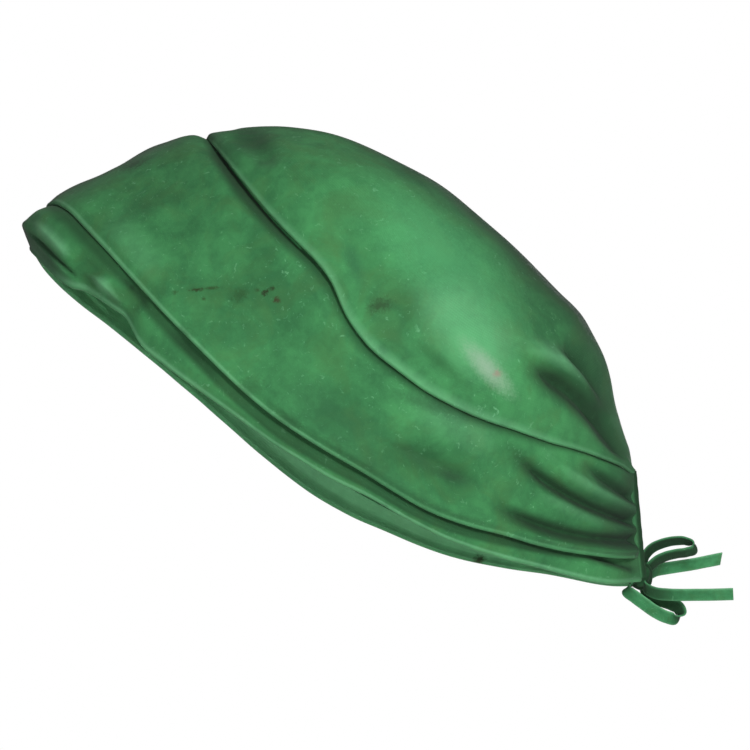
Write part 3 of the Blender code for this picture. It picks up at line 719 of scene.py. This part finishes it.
band = {
    "wall": 2.0,
    "bulge": 5.4,
    "clearance": 0.2,
    "lipRise": 0.7,
    "lipReach": 0.35,
    "backProud": 1.5,
    "dive": 3.0,
    "gatherSpacing": 5.2,
    "gatherHeight": 0.45,
    "gatherReach": 14.0,
    "endProud": 0.7,  # the ends run into the casings
    "browFill": 0.45,  # how much more the band swells low down over the brow, and less high up
    "browFillTurn": 0.62,
    # From the brow to a casing, how far down the crown's hem shades the band, and how dark
    "shadeWide": ((0.0, 0.03), (0.08, 0.05), (0.15, 0.10), (0.23, 0.13), (0.34, 0.11), (0.55, 0.11),
                  (0.75, 0.10), (0.90, 0.06), (1.0, 0.04)),
    "shadeDeep": ((0.0, 0.4), (0.08, 0.9), (0.15, 1.0), (0.24, 1.0), (0.31, 0.7), (0.42, 0.6),
                  (0.55, 0.8), (0.75, 0.8), (0.90, 0.6), (1.0, 0.5)),
    "shadeLeft": 25.0,
    "shadeRight": 18.0,
    "hiddenLap": 2.2,
    "tuck": 0.5,
    "rippleSize": 34.0,
    "rippleHeight": 0.35,
    "rippleSeed": 11,
    "stepsRound": 540,
    "stepsUp": 64,
    "profile": ((0.00, 0.00), (0.22, 0.56), (0.47, 0.78), (0.72, 0.95), (0.86, 0.96), (0.95, 0.55),
                (1.00, 0.0)),
}


def crownTop():
    top = max(ridgeRows, key=lambda row: row[1])
    return np.array([0.0, cap["seam"]["front"] + top[0] * seamLength(), top[1] * cap["crownHeight"]])


def shadeAlongMiddle(grid, leftReach, rightReach):
    # Painted shade, greyest along the middle line over the brow and the ridge
    reach = np.where(grid[..., 0] > 0, leftReach, rightReach)
    return np.exp(-np.abs(grid[..., 0] / reach) ** 3)


def makeBand():
    around = np.linspace(-1.0, 1.0, band["stepsRound"] + 1)
    grid, up = wallBetween(lineRound("crease", around), lineRound("seam", around), crownTop(),
                           band["stepsUp"], band["hiddenLap"])
    normals = outward(grid)
    apart = np.abs(around)[:, None]  # 0 at the middle of the brow, 1 at a casing
    high = up[None, :]
    toCasing = (1 - apart) * cap["halfRound"]
    flat = falling(toCasing, 0.0, cap["flatBefore"])

    # It swells out between its hems, and its lower lip stands on the cuff
    fullness = (station("bandOut", around) * band["bulge"])[:, None]
    bulge = curveThrough(band["profile"], 1, up)[None, :] * fullness
    bulge = bulge * (1 + band["browFill"] * falling(apart, 0.0, 0.15) * (band["browFillTurn"] - high))
    proud = band["clearance"] + band["wall"]
    proud = proud + band["lipRise"] * rising(high, 0.0, 0.06) * rising(apart, 0.0, 0.14)
    proud = proud + band["backProud"] * rising(apart, 0.30, 0.55) * rising(high, 0.0, 0.10)
    out = bulge + proud * falling(high, 0.0, band["lipReach"])

    # It dives under the crown's hem, deepest in the groove beside the brow
    groove = rising(apart, 0.06, 0.18) * falling(apart, 0.30, 0.44)
    dive = band["dive"] * (0.45 + 0.9 * groove) * bump(high, 0.985, 0.045 + 0.025 * groove)
    out = out - dive * ease(apart * 9) * (1 - 0.6 * rising(apart, 0.45, 0.75))
    out = out * (1 - flat) + band["endProud"] * flat
    out[:, -2:] = -band["tuck"]

    folds, crease = foldHeight(grid, bandFolds)
    gathers = np.sin(grid[..., 2] * 2 * math.pi / band["gatherSpacing"] + 0.05 * toCasing)
    folds = folds + band["gatherHeight"] * gathers * np.exp(-toCasing / band["gatherReach"])
    calm = rising(high, 0.0, 0.07) * falling(high, 0.88, 1.0) * rising(toCasing, 0.0, 4.0)
    out = out + (folds + ripple(grid, band)) * calm

    wide = np.interp(apart, *zip(*band["shadeWide"]))
    deep = np.interp(apart, *zip(*band["shadeDeep"]))
    hemShade = deep * ease((high - (1 - 1.3 * wide)) / (wide * (1 - 0.4 * groove)))
    # painted highlight along the band's lower hem edge, weaker towards the back
    hemHighlight = 0.6 * bump(high, 0.002, 0.008) * (1 - 0.5 * rising(apart, 0.45, 0.65))
    # painted shade in crisp creases and under the crown's hem; painted highlights on fold ridges and along
    # the lower hem; grey painted shade along the middle line
    marks = {
        "paintedShade": np.clip(crease * calm / 3.6, 0, 1.1) + hemShade,
        "wearAndHighlight": np.clip(folds * calm / 5.0, 0, 1) + hemHighlight,
        "greyShade": shadeAlongMiddle(grid, band["shadeLeft"], band["shadeRight"]),
    }
    return shell("sideBandCloth", grid + out[..., None] * normals, normals, band["wall"], marks)


# Brow cuff

cuff = {
    "wall": 2.2,
    "bulge": 6.6,
    "topTuck": 1.6,
    "shoulder": 2.0,  # beside the brow the cuff stands up to the band's edge
    "browProfile": ((0.0, 0.0), (0.2, 0.60), (0.38, 1.0), (0.5, 0.84), (0.7, 0.46), (0.85, 0.20), (1.0, 0.0)),
    # From the brow to a casing, how far up the band's hem starts to shade the cuff
    "shadeFrom": ((0.0, 0.82), (0.05, 0.72), (0.12, 0.68), (0.30, 0.50), (0.42, 0.26), (0.50, 0.10),
                  (0.66, 0.10), (0.76, 0.25), (0.86, 0.55), (1.0, 0.90)),
    "shadeLeft": 18.0,
    "shadeRight": 16.0,
    "innerLight": 0.35,
    "innerLightRight": 0.40,  # painted light: the inner side is paler still along the right side
    "endProud": 0.8,
    "hiddenLap": 2.2,
    "tuck": 0.5,
    "rippleSize": 22.0,
    "rippleHeight": 0.25,
    "rippleSeed": 5,
    "stepsRound": 760,
    "stepsUp": 34,
}


def makeCuff():
    around = np.linspace(-1.0, 1.0, cuff["stepsRound"] + 1)
    around = np.sign(around) * np.abs(around) ** 1.4  # finer over the brow
    grid, up = wallBetween(lineRound("rim", around), lineRound("crease", around), lineRound("seam", around),
                           cuff["stepsUp"], cuff["hiddenLap"])
    normals = outward(grid)
    apart = np.abs(around)[:, None]
    high = up[None, :]
    toCasing = (1 - apart) * cap["halfRound"]
    flat = falling(toCasing, 0.0, cap["flatBefore"])
    onLeft = (around > 0)[:, None]
    onRight = (around < 0)[:, None]

    # It is folded over at the brow's middle, stands up beside it and tucks under the band further back
    brow = falling(apart, 0.08, 0.30)
    tip = falling(apart, 0.0, 0.11)
    out = np.sin(math.pi * high) * (1 - tip) + curveThrough(cuff["browProfile"], 1, up)[None, :] * tip
    out = out * (station("cuffOut", around) * cuff["bulge"])[:, None]
    out = out + cuff["shoulder"] * brow * (1 - tip) * rising(high, 0.45, 0.75) * falling(high, 0.92, 1.0)
    out = out - cuff["topTuck"] * rising(high, 0.45, 0.85) * rising(apart, 0.25, 0.50)
    out = out * (1 - flat) + cuff["endProud"] * flat
    out[:, -2:] = -cuff["tuck"]

    folds, crease = foldHeight(grid, cuffFolds)
    calm = falling(high, 0.75, 1.0) * rising(toCasing, 0.0, 6.0)
    out = out + (folds + ripple(grid, cuff)) * calm

    along = grid[:, :1, 1]
    # painted shade in the slit at the brow and under the brow's lip
    slit = rising(along, 7.0, 12.0) * falling(along, 28.0, 37.0) * falling(high, 0.0, 0.12) * onLeft
    underBrow = falling(along, 22.0, 34.0) * falling(high, 0.20, 0.36) * onLeft
    darkFrom = np.interp(apart, *zip(*cuff["shadeFrom"]))
    greyShade = shadeAlongMiddle(grid, cuff["shadeLeft"], cuff["shadeRight"]) + 0.75 * underBrow
    greyShade = greyShade + 0.3 * brow * falling(high, 0.10, 0.30) * onRight
    # painted shade in crisp creases, in the slit and below the band's hem; painted highlights on fold ridges
    # and along the rim; grey painted shade along the middle and under the brow
    marks = {
        "paintedShade": np.clip(crease * calm / 1.7, 0, 1.3) + 0.85 * ease((high - darkFrom) / 0.24) + 0.5 * slit,
        "wearAndHighlight": np.clip(folds * calm / 2.4, 0, 1) + 0.6 * bump(high, 0.01, 0.06) * rising(apart, 0.0, 0.1),
        "greyShade": np.clip(greyShade, 0, 1),
    }
    # painted light on the inner side along the right side
    litRight = rising(apart, 0.26, 0.40) * falling(apart, 0.72, 0.88) * onRight
    return shell("cuffCloth", grid + out[..., None] * normals, normals, cuff["wall"], marks,
                 innerLight=cuff["innerLight"] + cuff["innerLightRight"] * litRight)


# Crown

crown = {
    "wall": 2.0,
    "clearance": 0.3,
    "lipRise": 0.6,
    "lipReach": 0.60,
    "frontLift": -1.0,
    "frontLiftReach": 0.20,
    "foldsFrom": 0.20,  # folds reach their full depth this far above the hem
    "backLift": 0.7,
    "backLiftReach": 0.17,
    "fullness": 0.90,
    "endOut": 0.35,  # at the back end the hem lies closer, this share of its stand elsewhere
    "rippleSize": 40.0,
    "rippleHeight": 0.40,
    "rippleSeed": 23,
    "puckers": 46,
    "puckerHeight": 0.35,
    "puckerReach": 0.16,
    "shadeLeft": 27.0,
    "shadeSpread": 11.0,  # further back the painted shade reaches down this much further on the left
    "shadeRight": 19.0,
    "stepsAlong": 190,
    "stepsOver": 190,
}


def makeCrown():
    around = np.linspace(0.0, 1.0, crown["stepsAlong"] + 1)
    turn = np.linspace(0.0, math.pi, crown["stepsOver"] + 1)
    foot = lineRound("seam", around)
    rise = ridgeHigh(foot[:, 1]) - foot[:, 2]
    over = np.sign(np.cos(turn)) * np.abs(np.cos(turn)) ** crown["fullness"]
    lift = np.abs(np.sin(turn)) ** crown["fullness"]
    grid = np.empty((len(around), len(turn), 3))
    grid[..., 0] = foot[:, 0, None] * over
    grid[..., 1] = foot[:, 1, None]
    grid[..., 2] = foot[:, 2, None] + rise[:, None] * lift
    normals = outward(grid)
    normals[0] = normals[1, crown["stepsOver"] // 2]
    fromSeam = np.minimum(turn, math.pi - turn) / (math.pi / 2)
    swell = np.sin(math.pi * np.clip(fromSeam / crown["lipReach"], 0, 1))
    stand = crown["clearance"] + crown["wall"]
    lip = (stand + crown["lipRise"] * swell) * falling(fromSeam, 0.0, crown["lipReach"])
    tip = falling(around, 0.03, 0.08)[:, None]  # the front tip stands clear of the band's lap all over
    front = crown["frontLift"] * falling(around, 0.0, crown["frontLiftReach"])
    back = crown["backLift"] * rising(around, 1 - crown["backLiftReach"], 1.0)
    out = lip[None, :] * (1 - tip) + stand * tip + (front + back)[:, None]
    out = out * (1 - (1 - crown["endOut"]) * rising(around, 0.90, 1.0))[:, None]

    folds, crease = foldHeight(grid, crownFolds)
    ends = rising(around, 0.0, 0.05) * falling(around, 0.955, 1.0)
    calm = rising(fromSeam, 0.0, crown["foldsFrom"])[None, :] * ends[:, None]
    out = out + (folds + ripple(grid, crown)) * calm
    pucker = np.sin(around * crown["puckers"] * math.pi) * np.sin(math.pi * around)
    pucker = pucker * rising(around, 0.45, 0.85) * crown["puckerHeight"]
    out = out + pucker[:, None] * bump(fromSeam, 0.0, crown["puckerReach"])[None, :]
    out[0] = stand + crown["frontLift"]

    along = grid[..., 1]
    # grey painted shade along the middle line, reaching further down on the left further back
    shadeLeft = crown["shadeLeft"] + crown["shadeSpread"] * rising(along, 80.0, 110.0)
    greyShade = shadeAlongMiddle(grid, shadeLeft, crown["shadeRight"])
    # painted shade in crisp creases; painted highlights on fold ridges and along the hem's edge; grey painted
    # shade along the middle, weaker at the back
    marks = {
        "paintedShade": np.clip(crease * calm / 3.6, 0, 1.1),
        "wearAndHighlight": np.clip(folds * calm / 5.0, 0, 1) + 0.45 * bump(fromSeam, 0.0, 0.012)[None, :],
        "greyShade": greyShade * (1.1 - 0.5 * rising(along, 185.0, 205.0)),
    }
    return shell("crownCloth", grid + out[..., None] * normals, normals, crown["wall"], marks,
                 closedFront=True)


bandPiece = makeBand()
cuffPiece = makeCuff()
crownPiece = makeCrown()
print("cloth leaves made")


# Casings: the rolled hems that the tie runs out of

casing = {
    "width": 3.4,
    "thick": 3.0,
    "endLap": -0.6,
    "topBend": 0.8,  # the top leans forward under the crown's end
    "gap": -0.7,  # laps over the ends of the band and the cuff
    "approach": 0.98,
    "rings": 90,
    "corners": 20,
    "gathers": 7,
    "gatherDepth": 0.06,
    "shade": ((0.0, 1.3), (1.0, 1.2)),
}


def finer(route, pieces):
    route = np.asarray(route, float)
    spots = np.concatenate([[0.0], np.cumsum(np.linalg.norm(np.diff(route, axis=0), axis=1))])
    rows = [(spot,) + tuple(point) for spot, point in zip(spots, route)]
    at = np.linspace(0.0, spots[-1], pieces)
    return np.stack([curveThrough(rows, 1 + axis, at) for axis in range(3)], axis=-1)


def casingLine(side):
    ends = []
    for which in ("seam", "crease", "rim"):
        last = lineRound(which, np.array([side * casing["approach"], side]))
        way = last[1] - last[0]
        way[2] = 0.0
        way = way / np.linalg.norm(way)
        ends.append(last[1] + way * (casing["width"] / 2 + casing["gap"]))
    down = (ends[2] - ends[0]) / np.linalg.norm(ends[2] - ends[0])
    ends[0] = ends[0] + np.array([0.0, -casing["topBend"], 0.0])
    ends[2] = ends[2] + down * casing["endLap"]
    return finer(ends, casing["rings"]), way


def strip(name, route, facing, width, thick, corners, material, shade, swell=1.0, cup=0.0,
          square=(0.35, 0.8)):
    # A strip of cloth along a route in world metres, its width turned towards facing
    route = np.asarray(route, float)
    ahead = np.gradient(route, axis=0)
    ahead = ahead / np.linalg.norm(ahead, axis=1, keepdims=True)
    facing = np.broadcast_to(np.asarray(facing, float), route.shape)
    wide = facing - np.sum(ahead * facing, axis=1, keepdims=True) * ahead
    wide = wide / np.linalg.norm(wide, axis=1, keepdims=True)
    through = np.cross(ahead, wide)
    turn = 2 * math.pi * (np.arange(corners) + 0.5) / corners
    across = np.sign(np.cos(turn)) * np.abs(np.cos(turn)) ** square[0] * width / 2
    deep = np.sign(np.sin(turn)) * np.abs(np.sin(turn)) ** square[1] * thick / 2
    swell = np.broadcast_to(swell, (len(route), corners))
    bend = cup * (across / (width / 2)) ** 2
    rings = (route[:, None] + (across[None, :] * swell)[..., None] * wide[:, None]
             + ((deep + bend)[None, :] * swell)[..., None] * through[:, None])
    faces = tubeFaces(len(route), corners)
    faces.append(tuple(range(corners))[::-1])
    faces.append(tuple((len(route) - 1) * corners + j for j in range(corners)))
    gone = np.concatenate([[0.0], np.cumsum(np.linalg.norm(np.diff(route, axis=0), axis=1))]) / mm
    plan = np.stack([np.repeat(gone, corners), np.tile(across / mm, len(route))], axis=-1)
    # painted edges paler, partly wear and partly painted highlight; painted shade along the strip from the
    # shade table
    wearAndLightShare = np.tile(np.abs(across) / (width / 2), len(route)) ** 6
    shares, shades = zip(*shade)
    dark = np.repeat(np.interp(gone / gone[-1], shares, shades), corners)
    marks = {"wearAndHighlight": wearAndLightShare * 0.8 * (1 - 0.6 * dark), "paintedShade": dark * (1 - 0.8 * wearAndLightShare), "greyShade": 0 * wearAndLightShare}
    return makePiece(name, rings, faces, plan, marks, material)


def makeCasing(name, side):
    route, way = casingLine(side)
    along = np.linspace(0, 1, casing["rings"])[:, None]
    turn = np.linspace(0, 2 * math.pi, casing["corners"], endpoint=False)[None, :]
    waves = np.sin(along * casing["gathers"] * 2 * math.pi + 0.8 * np.sin(turn) + 2 * np.sin(along * 9))
    swell = 1 - casing["gatherDepth"] * (0.5 + 0.5 * waves) * (0.35 + 0.65 * np.abs(np.sin(turn)))
    return strip(name, toWorld(route), way, casing["width"] * mm, casing["thick"] * mm, casing["corners"],
                 clothGreen, casing["shade"], swell=swell, square=(0.6, 0.9))


casingLeft = makeCasing("casingHemLeft", 1)
casingRight = makeCasing("casingHemRight", -1)
print("casings made")


# The bow: the loops' and tails' routes repeat the ones that the frame was built with

knot = {
    "rise": 1.4,
    "setback": 0.6,
    "waist": 0.80,
    "waistAt": 0.42,  # as a share of the half width, with how wide the waist is
    "waistReach": 0.16,
    "share": (0.98, 0.86, 0.94),
    "shade": 1.1,
}

tie = {
    "width": 5.0,
    "thick": 0.9,
    "corners": 16,
    "ringsPerRow": 10,
    "tuck": 0.45,  # the ends start inside the knot, this share of the way out
    "cup": 0.35,
}

# left, back and up from the middle of the knot, in metres
tieRoutes = {
    "tieLoopLeft": (
        (0.0030, -0.0044, -0.0050), (0.0030, -0.0018, -0.0072), (0.0030, 0.0014, -0.0096),
        (0.0031, 0.0054, -0.0124), (0.0033, 0.0092, -0.0142), (0.0036, 0.0122, -0.0147),
        (0.0034, 0.0137, -0.0134), (0.0030, 0.0131, -0.0114), (0.0024, 0.0108, -0.0100),
        (0.0016, 0.0076, -0.0088), (0.0008, 0.0048, -0.0077), (0.0002, 0.0026, -0.0064),
    ),
    "tieTailLeft": (
        (0.0044, 0.0022, -0.0044), (0.0062, 0.0052, -0.0060), (0.0080, 0.0094, -0.0066),
        (0.0090, 0.0138, -0.0068), (0.0095, 0.0184, -0.0068), (0.0098, 0.0232, -0.0068),
        (0.0100, 0.0282, -0.0067), (0.0102, 0.0316, -0.0066),
    ),
    "tieLoopRight": (
        (-0.0012, 0.0012, 0.0057), (-0.0022, 0.0020, 0.0078), (-0.0032, 0.0042, 0.0101),
        (-0.0038, 0.0076, 0.0117), (-0.0042, 0.0122, 0.0127), (-0.0045, 0.0160, 0.0126),
        (-0.0047, 0.0188, 0.0112), (-0.0046, 0.0190, 0.0094), (-0.0042, 0.0164, 0.0083),
        (-0.0036, 0.0126, 0.0077), (-0.0030, 0.0088, 0.0067), (-0.0024, 0.0058, 0.0052),
        (-0.0020, 0.0045, 0.0041),
    ),
    "tieTailRight": (
        (-0.0054, 0.0034, 0.0014), (-0.0086, 0.0060, 0.0028), (-0.0114, 0.0096, 0.0036),
        (-0.0136, 0.0140, 0.0044), (-0.0154, 0.0186, 0.0052), (-0.0172, 0.0232, 0.0062),
        (-0.0208, 0.0284, 0.0074),
    ),
}
tieFacing = {
    "tieLoopLeft": (0.55, 0.60, 0.58),
    "tieTailLeft": (0.62, 0.00, 0.78),
    "tieLoopRight": (0.80, -0.35, 0.48),
    "tieTailRight": (0.60, 0.00, 0.80),
}
# How shaded the tape lies along each stretch, from its start at the knot
tieShades = {
    "tieLoopLeft": ((0.0, 1.2), (0.12, 0.4), (0.18, 0.0), (0.50, 0.0), (0.56, 1.2), (1.0, 1.2)),
    "tieTailLeft": ((0.0, 1.3), (0.30, 0.9), (0.42, 0.3), (0.55, 0.15), (1.0, 0.15)),
    "tieLoopRight": ((0.0, 1.3), (0.60, 1.25), (1.0, 1.3)),
    "tieTailRight": ((0.0, 1.2), (0.20, 0.6), (0.40, 0.10), (1.0, 0.0)),
}
tieNodes = {
    "tieLoopLeft": "tie_loop_left",
    "tieTailLeft": "tie_tail_left",
    "tieLoopRight": "tie_loop_right",
    "tieTailRight": "tie_tail_right",
}


def knotMiddle():
    high = lineRound("rim", np.array([1.0]))[0, 2] + knot["rise"]
    return toWorld(np.array([0.0, cap["rimLength"] - cap["rim"]["back"] - knot["setback"], high]))


def makeKnot():
    # A ball squeezed at its waist, with the tape wound round it
    low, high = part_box("tie_knot")
    middle = (low + high) / 2
    size = high - low
    bpy.ops.object.select_all(action="DESELECT")
    bpy.ops.mesh.primitive_uv_sphere_add(segments=48, ring_count=28, radius=0.5, location=(0, 0, 0))
    piece = bpy.context.object
    piece.name = "bowKnot"
    mesh = piece.data
    places = np.zeros(len(mesh.vertices) * 3)
    mesh.vertices.foreach_get("co", places)
    places = places.reshape(-1, 3) * 2
    turn = np.arctan2(places[:, 2], places[:, 1])
    reach = 1 - (1 - knot["waist"]) * bump(np.abs(places[:, 0]), knot["waistAt"], knot["waistReach"])
    reach = reach * (1 - 0.06 * np.cos(3 * turn + 2 * places[:, 0]))
    places[:, 1:] *= reach[:, None]
    places = places * (np.array(size) / 2 * knot["share"]) + np.array(middle)
    mesh.vertices.foreach_set("co", places.reshape(-1))
    # painted shade: the knot is dark all over and darkest at its waist
    writeMarks(mesh, {"wearAndHighlight": 0 * reach, "paintedShade": knot["shade"] + 2.2 * (1 - reach), "greyShade": 0 * reach})
    mesh.uv_layers[0].name = "clothPlan"
    mesh.shade_smooth()
    mesh.materials.clear()
    mesh.materials.append(tapeGreen)
    return piece


def routeLength(route):
    return float(np.sum(np.linalg.norm(np.diff(route, axis=0), axis=1)))


knotPiece = makeKnot()
tiePieces = {}
for name, rows in tieRoutes.items():
    rows = [tuple(tie["tuck"] * x for x in rows[0])] + list(rows)
    if "Loop" in name:
        rows.append(tuple(tie["tuck"] * x for x in rows[-1]))
    line = finer(np.array(rows) + knotMiddle(), tie["ringsPerRow"] * len(rows))
    tiePieces[name] = strip(name, line, tieFacing[name], tie["width"] * mm, tie["thick"] * mm, tie["corners"],
                            tapeGreen, tieShades[name], cup=tie["cup"] * mm)
    print(name, round(routeLength(line) / mm, 1), "mm")
print("bow made")


# What each piece stands for

standsFor = (
    (crownPiece, "crown", "crown_cloth"),
    (bandPiece, "side_band", "band_cloth"),
    (cuffPiece, "cuff", "cuff_cloth"),
    (casingLeft, "back_casing_left", "casing_cloth"),
    (casingRight, "back_casing_right", "casing_cloth"),
    (knotPiece, "tie_knot", "tie_tape"),
)
for piece, node, slot in standsFor:
    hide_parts(node)
    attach(piece, "root")
for name, piece in tiePieces.items():
    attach(piece, "root")
    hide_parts(tieNodes[name])


# Floor and world

def makeStage():
    bpy.ops.object.select_all(action="DESELECT")
    bpy.ops.mesh.primitive_plane_add(size=studio["floorSize"] * mm,
                                     location=(0, 0, studio["floorHigh"] * mm))
    floor = bpy.context.object
    floor.name = "floor"
    floor.data.materials.append(paleBoard("mattPaleBoard", studio["boardShade"], studio["floorGlow"]))
    world = bpy.data.worlds.new("paleStudio")
    bpy.context.scene.world = world
    world.use_nodes = True
    tree = world.node_tree
    lit = tree.nodes["Background"]
    lit.inputs["Color"].default_value = (1.0, 1.0, 1.0, 1.0)
    lit.inputs["Strength"].default_value = studio["worldLight"]
    seen = addNode(tree, "ShaderNodeBackground", {"Color": (1.0, 1.0, 1.0, 1.0), "Strength": 1.0})
    ray = addNode(tree, "ShaderNodeLightPath")
    mixed = addNode(tree, "ShaderNodeMixShader", None, {0: ray.outputs["Is Camera Ray"], 1: lit.outputs[0],
                    2: seen.outputs[0]})
    tree.links.new(mixed.outputs[0], tree.nodes["World Output"].inputs["Surface"])


makeStage()
print("stage set")
